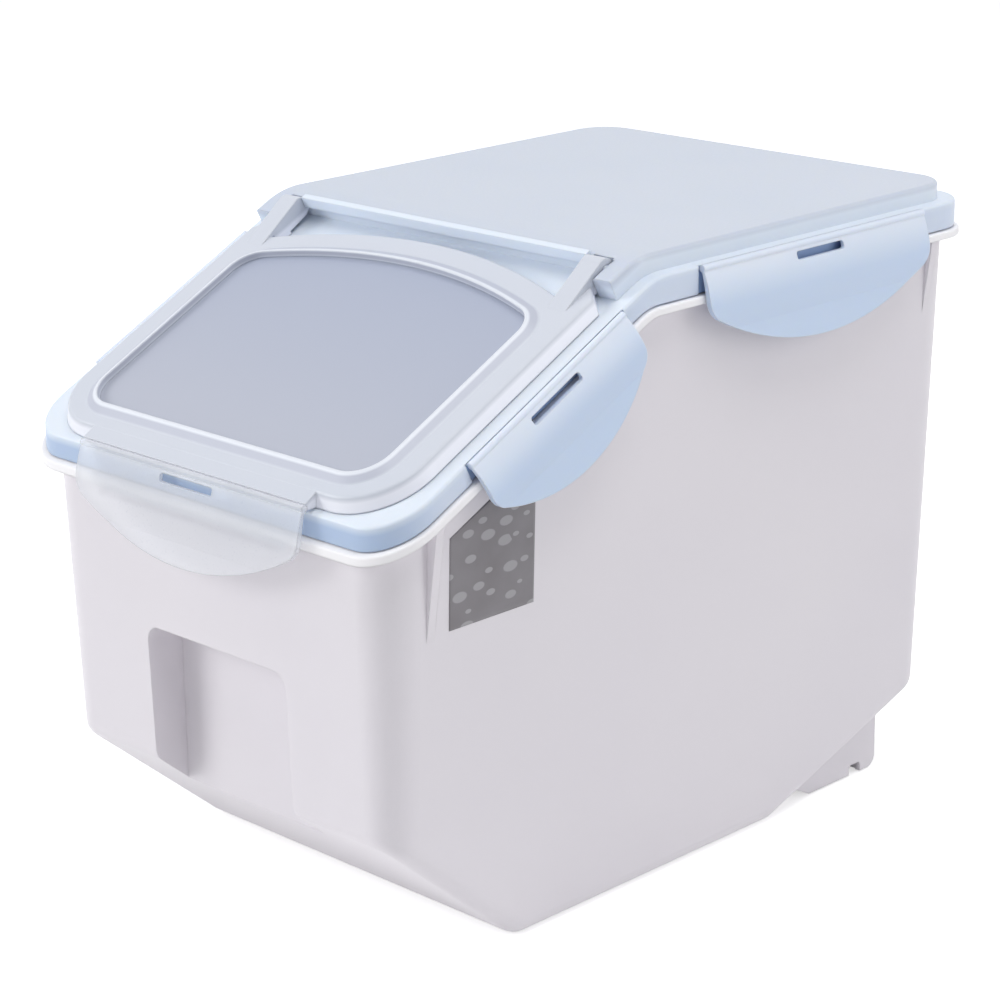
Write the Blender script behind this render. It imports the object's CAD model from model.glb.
import bpy
import numpy as np
from mathutils import Matrix, Vector


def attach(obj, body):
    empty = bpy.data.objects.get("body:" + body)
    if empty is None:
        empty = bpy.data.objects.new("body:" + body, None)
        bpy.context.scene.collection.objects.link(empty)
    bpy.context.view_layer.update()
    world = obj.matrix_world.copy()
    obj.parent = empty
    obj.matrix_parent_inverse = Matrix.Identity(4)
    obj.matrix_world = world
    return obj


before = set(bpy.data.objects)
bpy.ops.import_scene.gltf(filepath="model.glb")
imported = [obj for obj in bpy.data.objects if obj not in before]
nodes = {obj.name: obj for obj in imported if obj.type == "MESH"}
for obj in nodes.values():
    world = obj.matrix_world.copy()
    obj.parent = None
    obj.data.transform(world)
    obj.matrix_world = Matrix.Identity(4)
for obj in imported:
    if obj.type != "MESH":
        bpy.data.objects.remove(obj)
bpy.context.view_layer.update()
print("frame loaded:", len(nodes), "nodes")


def linear(colour):
    # a screen colour (0-255) as the linear value that a shader takes
    c = np.array(colour, float) / 255.0
    out = np.where(c <= 0.04045, c / 12.92, ((c + 0.055) / 1.055) ** 2.4)
    return (*out.tolist(), 1.0)


def gridMesh(name, points, smooth=True):
    # points is a (rows, columns, 3) array; neighbours in it are joined into quads
    rows, columns = points.shape[:2]
    first = np.arange(rows - 1)[:, None] * columns + np.arange(columns - 1)[None, :]
    quads = np.stack([first, first + 1, first + columns + 1, first + columns], -1)
    mesh = bpy.data.meshes.new(name)
    mesh.from_pydata(points.reshape(-1, 3), [], quads.reshape(-1, 4))
    mesh.polygons.foreach_set("use_smooth", np.full(len(mesh.polygons), smooth))
    mesh.update()
    piece = bpy.data.objects.new(name, mesh)
    bpy.context.scene.collection.objects.link(piece)
    return piece


def startMaterial(name, colour, roughness):
    material = bpy.data.materials.new(name)
    material.use_nodes = True
    tree = material.node_tree
    shader = tree.nodes["Principled BSDF"]
    shader.inputs["Base Color"].default_value = linear(colour)
    shader.inputs["Roughness"].default_value = roughness
    shader.inputs["IOR"].default_value = 1.49
    return material, tree, shader


def addNode(tree, kind, **values):
    node = tree.nodes.new(kind)
    for key, value in values.items():
        setattr(node, key, value)
    return node


def objectCoords(tree, scale=(1, 1, 1)):
    coords = addNode(tree, "ShaderNodeTexCoord")
    mapping = addNode(tree, "ShaderNodeMapping")
    mapping.inputs["Scale"].default_value = scale
    tree.links.new(coords.outputs["Object"], mapping.inputs["Vector"])
    return mapping.outputs["Vector"]


def noise(tree, vector, scale, detail=3.0, roughness=0.5):
    node = addNode(tree, "ShaderNodeTexNoise")
    node.inputs["Scale"].default_value = scale
    node.inputs["Detail"].default_value = detail
    node.inputs["Roughness"].default_value = roughness
    tree.links.new(vector, node.inputs["Vector"])
    return node.outputs["Fac"]


def spread(tree, value, low, high, fromLow=0.3, fromHigh=0.7):
    # carries fromLow..fromHigh, where most of a noise lies by default, over into low..high
    node = addNode(tree, "ShaderNodeMapRange")
    node.inputs["From Min"].default_value = fromLow
    node.inputs["From Max"].default_value = fromHigh
    node.inputs["To Min"].default_value = low
    node.inputs["To Max"].default_value = high
    tree.links.new(value, node.inputs["Value"])
    return node.outputs["Result"]


slopeFacts = {"degrees": 26.7, "frontY": -0.1642, "frontZ": 0.1746}
lidLine = {"height": 0.008, "level": 0.2526}
rimLine = {"height": 0.0, "level": 0.2415}


def alongPlane(tree, direction, start):
    # how far a point lies along a direction, from the level of the start point
    reach = addNode(tree, "ShaderNodeVectorMath", operation="DOT_PRODUCT")
    reach.inputs[1].default_value = direction
    tree.links.new(objectCoords(tree), reach.inputs[0])
    less = addNode(tree, "ShaderNodeMath", operation="SUBTRACT")
    less.inputs[1].default_value = float(np.dot(direction, start))
    tree.links.new(reach.outputs["Value"], less.inputs[0])
    return less.outputs[0]


def slopeAxes(look):
    # up the slope, square to it, and the point where the rim line starts at the front
    turn = np.radians(look["degrees"])
    start = (0, look["frontY"], look["frontZ"])
    return (0, np.cos(turn), np.sin(turn)), (0, -np.sin(turn), np.cos(turn)), start


def combine(tree, operation, first, second):
    node = addNode(tree, "ShaderNodeMath", operation=operation)
    for place, value in enumerate((first, second)):
        if isinstance(value, float):
            node.inputs[place].default_value = value
        else:
            tree.links.new(value, node.inputs[place])
    return node.outputs[0]


def overLine(tree, line):
    # height over a bent line that follows the slope and then runs level: the rim's, or the lid's top
    _, square, start = slopeAxes(slopeFacts)
    overSlope = combine(tree, "SUBTRACT", alongPlane(tree, square, start), line["height"])
    overLevel = alongPlane(tree, (0, 0, 1), (0, 0, line["level"]))
    return combine(tree, "MAXIMUM", overSlope, overLevel)


def sideReach(tree):
    # distance from the middle plane, to either side
    node = addNode(tree, "ShaderNodeMath", operation="ABSOLUTE")
    tree.links.new(alongPlane(tree, (1, 0, 0), (0, 0, 0)), node.inputs[0])
    return node.outputs[0]


def layered(tree, factor, lower, upper):
    # the lower colour with the upper one laid over it where the factor is 1; each is a colour or a socket
    node = addNode(tree, "ShaderNodeMix", data_type="RGBA")
    tree.links.new(factor, node.inputs["Factor"])
    for place, value in (("A", lower), ("B", upper)):
        if isinstance(value, tuple):
            node.inputs[place].default_value = linear(value)
        else:
            tree.links.new(value, node.inputs[place])
    return node.outputs["Result"]


def softEdges(tree, radius):
    node = addNode(tree, "ShaderNodeBevel", samples=4)
    node.inputs["Radius"].default_value = radius
    return node.outputs["Normal"]


def alongEdges(tree, soft):
    # 1 along an edge, where the softened normal leaves the face's own direction, 0 on the open face
    face = addNode(tree, "ShaderNodeNewGeometry")
    match = addNode(tree, "ShaderNodeVectorMath", operation="DOT_PRODUCT")
    tree.links.new(soft, match.inputs[0])
    tree.links.new(face.outputs["True Normal"], match.inputs[1])
    return spread(tree, match.outputs["Value"], 1, 0, 0.8, 0.97)


def bump(tree, shader, height, distance, strength, normal=None):
    node = addNode(tree, "ShaderNodeBump")
    node.inputs["Strength"].default_value = strength
    node.inputs["Distance"].default_value = distance
    tree.links.new(height, node.inputs["Height"])
    if normal is not None:
        tree.links.new(normal, node.inputs["Normal"])
    tree.links.new(node.outputs["Normal"], shader.inputs["Normal"])


def dress(nodeName, material):
    mesh = nodes[nodeName].data
    mesh.materials.clear()
    mesh.materials.append(material)


def mouldedPlastic(name, look):
    # one moulded plastic: slow colour drift from the melt and a fine satin grain
    material, tree, shader = startMaterial(name, look["colour"], look["roughness"])
    place = objectCoords(tree)
    drift = noise(tree, place, look["driftScale"], 2.0)
    colour = layered(tree, spread(tree, drift, 0, 1), look["colour"], look["driftColour"])
    soft = softEdges(tree, look["edgeRadius"])
    if "rimColour" in look:
        # the flange round the rim is the whitest part, because light reaches it from both sides
        onRim = spread(tree, overLine(tree, rimLine), 0, 1, *look["rimRange"])
        colour = layered(tree, onRim, colour, look["rimColour"])
    if "ledgeColour" in look:
        # the thin ledge, the walls over it and the rail's recess let the most light through
        up, _, start = slopeAxes(slopeFacts)
        ahead = combine(tree, "LESS_THAN", alongPlane(tree, up, start), look["plateauUp"])
        beside = combine(tree, "LESS_THAN", sideReach(tree), look["railHalf"])
        ahead = combine(tree, "MULTIPLY", ahead, beside)
        low = spread(tree, overLine(tree, lidLine), 1, 0, *look["ledgeRange"])
        colour = layered(tree, combine(tree, "MAXIMUM", ahead, low), colour, look["ledgeColour"])
    if "deepColour" in look:
        # thick or steep plastic low down shows more of the pigment than a thin top does
        up, _, start = slopeAxes(slopeFacts)
        fromFront = spread(tree, alongPlane(tree, up, start), 0, 1, *look["frontRange"])
        deep = layered(tree, fromFront, look["frontColour"], look["deepColour"])
        depth = spread(tree, overLine(tree, lidLine), 0, 1, *look["deepRange"])
        colour = layered(tree, depth, deep, colour)
    if "bedColour" in look:
        # the beds behind the side latches: light that has been through two walls is deep blue
        bed = combine(tree, "LESS_THAN", sideReach(tree), look["bedSide"])
        outside = combine(tree, "GREATER_THAN", sideReach(tree), look["bedInside"])
        bed = combine(tree, "MULTIPLY", bed, outside)
        low = combine(tree, "LESS_THAN", overLine(tree, lidLine), look["bedTop"])
        fromMiddle = addNode(tree, "ShaderNodeMath", operation="ABSOLUTE")
        tree.links.new(alongPlane(tree, (0, 1, 0), (0, look["bedMiddle"], 0)), fromMiddle.inputs[0])
        near = combine(tree, "LESS_THAN", fromMiddle.outputs[0], look["bedReach"])
        low = combine(tree, "MULTIPLY", low, near)
        colour = layered(tree, combine(tree, "MULTIPLY", bed, low), colour, look["bedColour"])
    if "edgeColour" in look:
        colour = layered(tree, alongEdges(tree, soft), colour, look["edgeColour"])
    tree.links.new(colour, shader.inputs["Base Color"])
    grain = noise(tree, place, look["grainScale"], 4.0, 0.6)
    smoothest = look["roughness"] - look["roughSpread"]
    roughest = look["roughness"] + look["roughSpread"]
    rough = spread(tree, grain, smoothest, roughest)
    tree.links.new(rough, shader.inputs["Roughness"])
    bump(tree, shader, grain, look["grainDepth"], look["grainStrength"], soft)
    shader.inputs["Subsurface Weight"].default_value = look["glow"]
    shader.inputs["Subsurface Radius"].default_value = look["glowReach"]
    shader.inputs["Subsurface Scale"].default_value = 1.0
    return material, tree, shader


bodyLook = {
    "colour": (229, 225, 230), "driftColour": (226, 222, 228), "driftScale": 9.0,
    "rimColour": (246, 245, 247), "rimRange": (-0.0042, -0.0034),
    "roughness": 0.42, "roughSpread": 0.05, "grainScale": 900.0, "grainDepth": 0.0002, "grainStrength": 0.12,
    "edgeRadius": 0.0008, "glow": 0.15, "glowReach": (0.006, 0.006, 0.006),
}
bodyPlastic, _, _ = mouldedPlastic("bodyPlastic", bodyLook)
dress("bin_body", bodyPlastic)

lidLook = {
    "colour": (199, 206, 219), "driftColour": (196, 204, 218), "driftScale": 12.0,
    "ledgeColour": (221, 230, 243), "ledgeRange": (0.0042, 0.0068), "plateauUp": 0.1536, "railHalf": 0.0803,
    "deepColour": (208, 219, 239), "deepRange": (-0.003, 0.0),
    "frontColour": (174, 194, 224), "frontRange": (0.004, 0.03),
    "bedColour": (168, 194, 238), "bedSide": 0.1052, "bedInside": 0.1030, "bedTop": -0.0015,
    "bedMiddle": 0.004, "bedReach": 0.136,
    "roughness": 0.38, "roughSpread": 0.05, "grainScale": 900.0, "grainDepth": 0.0002, "grainStrength": 0.10,
    "edgeRadius": 0.0007, "glow": 0.2, "glowReach": (0.003, 0.004, 0.007),
}
lidPlastic, _, _ = mouldedPlastic("lidPlastic", lidLook)
dress("main_lid", lidPlastic)

latchLook = {
    "colour": (222, 230, 246), "driftColour": (219, 228, 245), "driftScale": 30.0,
    "deepColour": (197, 213, 237), "deepRange": (-0.016, -0.002),
    "frontColour": (197, 213, 237), "frontRange": (0.004, 0.03), "edgeColour": (236, 242, 252),
    "roughness": 0.34, "roughSpread": 0.04,
    "grainScale": 1200.0, "grainDepth": 0.00015, "grainStrength": 0.08, "edgeRadius": 0.0006,
    "glow": 0.2, "glowReach": (0.002, 0.003, 0.006),
}
latchPlastic, _, _ = mouldedPlastic("latchPlastic", latchLook)
for side in ("left", "right"):
    dress("rear_latch_" + side, latchPlastic)
    dress("slope_latch_" + side, latchPlastic)


def frostedPlastic(name, look):
    # frosted plastic: a milky skin that lets part of what lies behind it through
    material, tree, shader = startMaterial(name, look["colour"], look["roughness"])
    place = objectCoords(tree)
    cloud = noise(tree, place, look["cloudScale"], 3.0)
    colour = layered(tree, spread(tree, cloud, 0, 1), look["colour"], look["cloudColour"])
    grain = noise(tree, place, look["grainScale"], 4.0, 0.6)
    rough = spread(tree, grain, look["roughness"] - 0.04, look["roughness"] + 0.04)
    tree.links.new(rough, shader.inputs["Roughness"])
    soft = softEdges(tree, look["edgeRadius"])
    bump(tree, shader, grain, look["grainDepth"], look["grainStrength"], soft)
    return material, tree, shader, colour, alongEdges(tree, soft)


def insideWindow(tree, look):
    # 1 on the flat panel inside the ridge: it lies lower than the frame, between two places up the slope
    up, square, start = slopeAxes(slopeFacts)
    height = alongPlane(tree, square, start)
    place = alongPlane(tree, up, start)
    inside = combine(tree, "LESS_THAN", height, look["panelTop"])
    inside = combine(tree, "MULTIPLY", inside, combine(tree, "GREATER_THAN", place, look["panelFront"]))
    inside = combine(tree, "MULTIPLY", inside, combine(tree, "LESS_THAN", place, look["panelRear"]))
    return combine(tree, "MULTIPLY", inside, combine(tree, "LESS_THAN", sideReach(tree), look["panelHalf"]))


def onRidge(tree, look):
    # 1 on the ridge round the window, 0 on the arms and knuckles, which rise as high further back
    up, square, start = slopeAxes(slopeFacts)
    place = combine(tree, "LESS_THAN", alongPlane(tree, up, start), look["armUp"])
    beside = combine(tree, "LESS_THAN", sideReach(tree), look["armSide"])
    ridge = combine(tree, "MAXIMUM", place, beside)
    height = alongPlane(tree, square, start)
    flank = combine(tree, "MULTIPLY", ridge, spread(tree, height, 0, 1, *look["flankRange"]))
    crest = combine(tree, "MULTIPLY", ridge, spread(tree, height, 0, 1, *look["crestRange"]))
    return flank, crest


def flipPlastic(look):
    material, tree, shader, colour, edge = frostedPlastic("flipLidPlastic", look)
    window = insideWindow(tree, look)
    up, square, start = slopeAxes(slopeFacts)
    side = spread(tree, alongPlane(tree, square, start), 1, 0, *look["sideRange"])
    colour = layered(tree, side, colour, look["sideColour"])
    flank, crest = onRidge(tree, look)
    colour = layered(tree, flank, colour, look["flankColour"])
    colour = layered(tree, crest, colour, look["crestColour"])
    colour = layered(tree, edge, colour, look["edgeColour"])
    rise = spread(tree, alongPlane(tree, up, start), 0, 1, look["panelFront"], look["panelRear"])
    panel = layered(tree, rise, look["panelColour"], look["panelRearColour"])
    tree.links.new(layered(tree, window, colour, panel), shader.inputs["Base Color"])
    tree.links.new(spread(tree, window, 1.0, look["panelMilk"], 0.0, 1.0), shader.inputs["Alpha"])
    return material


flipLook = {
    "colour": (206, 210, 219), "cloudColour": (203, 208, 218), "cloudScale": 14.0,
    "roughness": 0.36, "edgeRadius": 0.0008,
    "grainScale": 1100.0, "grainDepth": 0.00015, "grainStrength": 0.06,
    "panelColour": (195, 199, 212), "panelRearColour": (180, 188, 208), "panelMilk": 0.82,
    "flankColour": (188, 192, 205), "flankRange": (0.0139, 0.0143), "armUp": 0.122, "armSide": 0.0785,
    "crestColour": (226, 230, 238), "crestRange": (0.0153, 0.0157),
    "sideColour": (238, 240, 248), "sideRange": (0.0115, 0.0130), "edgeColour": (236, 239, 246),
    "panelTop": 0.0134, "panelFront": 0.0203, "panelRear": 0.1315, "panelHalf": 0.0814,
}
dress("flip_lid", flipPlastic(flipLook))


def latchFrost(look):
    material, tree, shader, colour, edge = frostedPlastic("frontLatchPlastic", look)
    tree.links.new(colour, shader.inputs["Base Color"])
    tree.links.new(spread(tree, edge, look["milk"], look["edgeMilk"], 0.0, 1.0), shader.inputs["Alpha"])
    return material


frontLatchLook = {
    "colour": (236, 238, 243), "cloudColour": (233, 236, 242), "cloudScale": 25.0,
    "milk": 0.36, "edgeMilk": 0.75, "roughness": 0.30, "edgeRadius": 0.0006,
    "grainScale": 1100.0, "grainDepth": 0.0001, "grainStrength": 0.05,
}
dress("front_latch", latchFrost(frontLatchLook))

sealLook = {
    "colour": (226, 228, 232), "driftColour": (218, 221, 227), "driftScale": 40.0,
    "roughness": 0.55, "roughSpread": 0.06, "grainScale": 1500.0, "grainDepth": 0.0002, "grainStrength": 0.2,
    "edgeRadius": 0.0005, "glow": 0.3, "glowReach": (0.004, 0.004, 0.004),
}
sealRubber, _, _ = mouldedPlastic("sealRubber", sealLook)
dress("main_lid_gasket", sealRubber)
dress("flip_lid_gasket", sealRubber)

wheelLook = {
    "colour": (206, 205, 208), "driftColour": (196, 195, 199), "driftScale": 60.0,
    "roughness": 0.5, "roughSpread": 0.1, "grainScale": 1800.0, "grainDepth": 0.0003, "grainStrength": 0.25,
    "edgeRadius": 0.0006, "glow": 0.0, "glowReach": (0.002, 0.002, 0.002),
}
wheelPlastic, _, _ = mouldedPlastic("wheelPlastic", wheelLook)
dress("wheel_left", wheelPlastic)
dress("wheel_right", wheelPlastic)


def turnedSteel(look):
    material, tree, shader = startMaterial("axleSteel", look["colour"], look["roughness"])
    shader.inputs["Metallic"].default_value = 1.0
    lines = noise(tree, objectCoords(tree, look["stretch"]), look["lineScale"], 3.0)
    rough = spread(tree, lines, look["smoothest"], look["roughest"])
    tree.links.new(rough, shader.inputs["Roughness"])
    bump(tree, shader, lines, 0.0001, 0.1)
    return material


axleLook = {
    "colour": (180, 183, 188), "roughness": 0.3, "smoothest": 0.22, "roughest": 0.42,
    "stretch": (40, 4, 4), "lineScale": 60.0,
}
axleSteel = turnedSteel(axleLook)
dress("axle_left", axleSteel)
dress("axle_right", axleSteel)
print("plastics and steel are on the CAD nodes")


panel = {
    "frontY": -0.1295, "rearY": -0.0857, "lowZ": 0.138, "frontTopZ": 0.1735, "slope": 0.503,
    "wallX": 0.0922, "wallLean": 0.038, "lift": 0.00015, "thickness": 0.00015,
    "mapSize": 0.044, "rows": 40, "columns": 44,
}


def printedPanel(look):
    # a thin sheet on the leaning wall: y runs along it, z from the level lower edge to the slanted upper edge
    along = np.linspace(0, 1, look["columns"])[None, :]
    up = np.linspace(0, 1, look["rows"])[:, None]
    y = look["frontY"] + (look["rearY"] - look["frontY"]) * along + 0 * up
    top = look["frontTopZ"] + look["slope"] * (y - look["frontY"])
    z = look["lowZ"] + (top - look["lowZ"]) * up
    x = look["wallX"] + look["wallLean"] * z + look["lift"]
    sheet = gridMesh("printed_panel", np.stack([x, y, z], -1))
    uv = sheet.data.uv_layers.new(name="panelMap")
    loops = np.zeros(len(sheet.data.loops), np.int32)
    sheet.data.loops.foreach_get("vertex_index", loops)
    flat = np.stack([y - look["frontY"], z - look["lowZ"]], -1).reshape(-1, 2) / look["mapSize"]
    uv.data.foreach_set("uv", flat[loops].ravel().astype(np.float32))
    thick = sheet.modifiers.new("thickness", "SOLIDIFY")
    thick.thickness = look["thickness"]
    thick.offset = -1
    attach(sheet, "bin")
    return sheet


def panelInk(look):
    # grey ink with a few pale rice-grain shapes scattered over it by a voronoi pattern
    material, tree, shader = startMaterial("panelInk", look["ink"], 0.4)
    uv = addNode(tree, "ShaderNodeUVMap", uv_map="panelMap")
    mapping = addNode(tree, "ShaderNodeMapping")
    mapping.inputs["Rotation"].default_value = (0, 0, look["turn"])
    mapping.inputs["Scale"].default_value = look["stretch"]
    tree.links.new(uv.outputs["UV"], mapping.inputs["Vector"])
    cells = addNode(tree, "ShaderNodeTexVoronoi", voronoi_dimensions="2D")
    cells.inputs["Scale"].default_value = 1.0
    cells.inputs["Randomness"].default_value = 0.7
    tree.links.new(mapping.outputs["Vector"], cells.inputs["Vector"])
    size = combine(tree, "ADD", cells.outputs["Color"], look["grainLeast"])
    nearness = combine(tree, "DIVIDE", cells.outputs["Distance"], size)
    grains = spread(tree, nearness, 1, 0, look["grainSize"], look["grainSize"] + 0.06)
    cloud = noise(tree, objectCoords(tree), 60.0, 3.0)
    ground = layered(tree, spread(tree, cloud, 0, 1), look["ink"], look["inkPale"])
    tree.links.new(layered(tree, grains, ground, look["grain"]), shader.inputs["Base Color"])
    bump(tree, shader, cloud, 0.0001, 0.1)
    return material


inkLook = {
    "ink": (118, 114, 118), "inkPale": (128, 125, 129), "grain": (158, 156, 160),
    "turn": 0.7, "stretch": (3.6, 6.5, 1), "grainSize": 0.28, "grainLeast": 0.2,
}
sheet = printedPanel(panel)
sheet.data.materials.append(panelInk(inkLook))
print("printed panel made")


shot = {
    "place": (0.80756, -0.81503, 0.49784), "right": (0.71105, 0.70303, -0.01243),
    "up": (-0.20251, 0.22169, 0.95386), "back": (0.6734, -0.6757, 0.3000), "lens": 104.67,
}


def makeCamera(look):
    data = bpy.data.cameras.new("photoCamera")
    data.lens = look["lens"]
    data.sensor_width = 36.0
    data.clip_start = 0.05
    data.clip_end = 60.0
    camera = bpy.data.objects.new("photoCamera", data)
    bpy.context.scene.collection.objects.link(camera)
    turn = Matrix([look["right"], look["up"], look["back"]]).transposed().to_4x4()
    camera.matrix_world = Matrix.Translation(look["place"]) @ turn
    bpy.context.scene.camera = camera
    return camera


makeCamera(shot)

studio = {
    "floorColour": (240, 240, 240), "floorGlow": 0.55, "floorSize": 12.0,
    "skyColour": (250, 251, 255), "skyStrength": 0.37,
    "lamps": [
        # name, place, size, watts, aimed at
        ("keySoftbox", (-2.0, -2.4, 1.3), 1.5, 50.0, (0, 0, 0.12)),
        ("topSoftbox", (0.5, -0.1, 2.4), 1.8, 30.0, (0, 0, 0.12)),
        ("sideSoftbox", (2.3, 1.3, 1.1), 1.6, 15.5, (0, 0, 0.12)),
    ],
}


def brightToEye(tree):
    # 1 for what the camera, a reflection or clear plastic sees, 0 for light that falls on the object
    path = addNode(tree, "ShaderNodeLightPath")
    first = addNode(tree, "ShaderNodeMath", operation="MAXIMUM")
    second = addNode(tree, "ShaderNodeMath", operation="MAXIMUM")
    tree.links.new(path.outputs["Is Camera Ray"], first.inputs[0])
    tree.links.new(path.outputs["Is Glossy Ray"], first.inputs[1])
    tree.links.new(first.outputs[0], second.inputs[0])
    tree.links.new(path.outputs["Is Transmission Ray"], second.inputs[1])
    return second.outputs[0]


def makeFloor(look):
    half = look["floorSize"] / 2
    line = np.linspace(-half, half, 5)
    x, y = np.meshgrid(line, line)
    floor = gridMesh("studioFloor", np.stack([x, y, np.full_like(x, -0.0002)], -1), smooth=False)
    material = bpy.data.materials.new("paperFloor")
    material.use_nodes = True
    tree = material.node_tree
    tree.nodes.remove(tree.nodes["Principled BSDF"])
    paper = addNode(tree, "ShaderNodeBsdfDiffuse")
    paper.inputs["Color"].default_value = linear(look["floorColour"])
    glow = addNode(tree, "ShaderNodeEmission")
    amount = addNode(tree, "ShaderNodeMath", operation="MULTIPLY")
    amount.inputs[1].default_value = look["floorGlow"]
    tree.links.new(brightToEye(tree), amount.inputs[0])
    tree.links.new(amount.outputs[0], glow.inputs["Strength"])
    both = addNode(tree, "ShaderNodeAddShader")
    tree.links.new(paper.outputs[0], both.inputs[0])
    tree.links.new(glow.outputs[0], both.inputs[1])
    tree.links.new(both.outputs[0], tree.nodes["Material Output"].inputs["Surface"])
    floor.data.materials.append(material)


makeFloor(studio)


def makeSky(look):
    world = bpy.data.worlds.new("studioSky")
    bpy.context.scene.world = world
    world.use_nodes = True
    tree = world.node_tree
    back = tree.nodes["Background"]
    back.inputs["Color"].default_value = linear(look["skyColour"])
    level = addNode(tree, "ShaderNodeMapRange")
    level.inputs["To Min"].default_value = look["skyStrength"]
    level.inputs["To Max"].default_value = 1.0
    tree.links.new(brightToEye(tree), level.inputs["Value"])
    tree.links.new(level.outputs["Result"], back.inputs["Strength"])


makeSky(studio)


def makeLamps(look):
    for name, place, size, watts, target in look["lamps"]:
        data = bpy.data.lights.new(name, "AREA")
        data.shape = "SQUARE"
        data.size = size
        data.energy = watts
        lamp = bpy.data.objects.new(name, data)
        lamp.location = place
        lamp.rotation_euler = (Vector(target) - Vector(place)).to_track_quat("-Z", "Y").to_euler()
        bpy.context.scene.collection.objects.link(lamp)


makeLamps(studio)
bpy.context.scene.view_settings.view_transform = "Standard"
print("camera, floor and lights are set")
